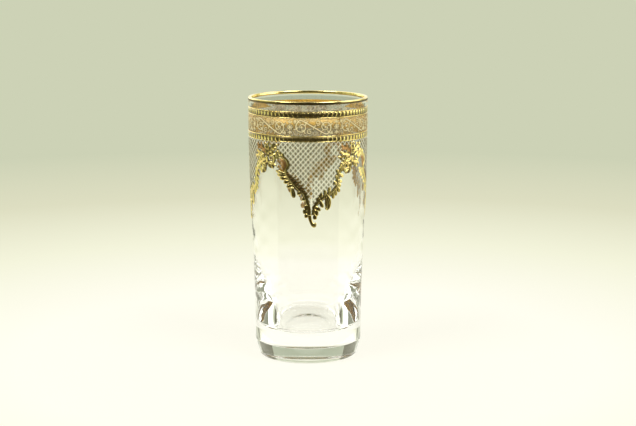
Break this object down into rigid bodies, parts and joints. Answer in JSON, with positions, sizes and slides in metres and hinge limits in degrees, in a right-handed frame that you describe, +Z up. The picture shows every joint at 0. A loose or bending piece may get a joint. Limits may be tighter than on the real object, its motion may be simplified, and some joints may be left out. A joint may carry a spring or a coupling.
{
  "type": "long drink glass",
  "caption": "Tall clear tumbler with a thick base, gilded rim, gold bead bands round an etched scroll frieze, and gold leaf swags under an etched lattice.",
  "frame": {"origin": "middle of the foot, on the surface that the glass stands on", "axes": "+Z up along the glass's axis, -Y towards the front that the picture shows"},
  "size_m": [0.0692, 0.0692, 0.1508],
  "materials": {
    "clear_glass": "clear polished",
    "gold": "burnished fired gold",
    "satin_glass": "satin etched"
  },
  "bodies": {
    "root": {"glass_body": "clear_glass", "rim_gilding": "gold", "upper_bead_band": "gold", "lower_bead_band": "gold", "frieze_ground": "satin_glass", "frieze_scroll_1": "satin_glass", "frieze_rosette_1": "satin_glass", "frieze_scroll_2": "satin_glass", "frieze_rosette_2": "satin_glass", "frieze_scroll_3": "satin_glass", "frieze_rosette_3": "satin_glass", "frieze_scroll_4": "satin_glass", "frieze_rosette_4": "satin_glass", "frieze_scroll_5": "satin_glass", "frieze_rosette_5": "satin_glass", "frieze_scroll_6": "satin_glass", "frieze_rosette_6": "satin_glass", "frieze_scroll_7": "satin_glass", "frieze_rosette_7": "satin_glass", "frieze_scroll_8": "satin_glass", "frieze_rosette_8": "satin_glass", "lattice_panel_1": "satin_glass", "garland_left_1": "gold", "garland_right_1": "gold", "garland_crest_1": "gold", "pendant_curl_1": "gold", "lattice_panel_2": "satin_glass", "garland_left_2": "gold", "garland_right_2": "gold", "garland_crest_2": "gold", "pendant_curl_2": "gold", "lattice_panel_3": "satin_glass", "garland_left_3": "gold", "garland_right_3": "gold", "garland_crest_3": "gold", "pendant_curl_3": "gold", "lattice_panel_4": "satin_glass", "garland_left_4": "gold", "garland_right_4": "gold", "garland_crest_4": "gold", "pendant_curl_4": "gold"}
  },
  "joints": []
}
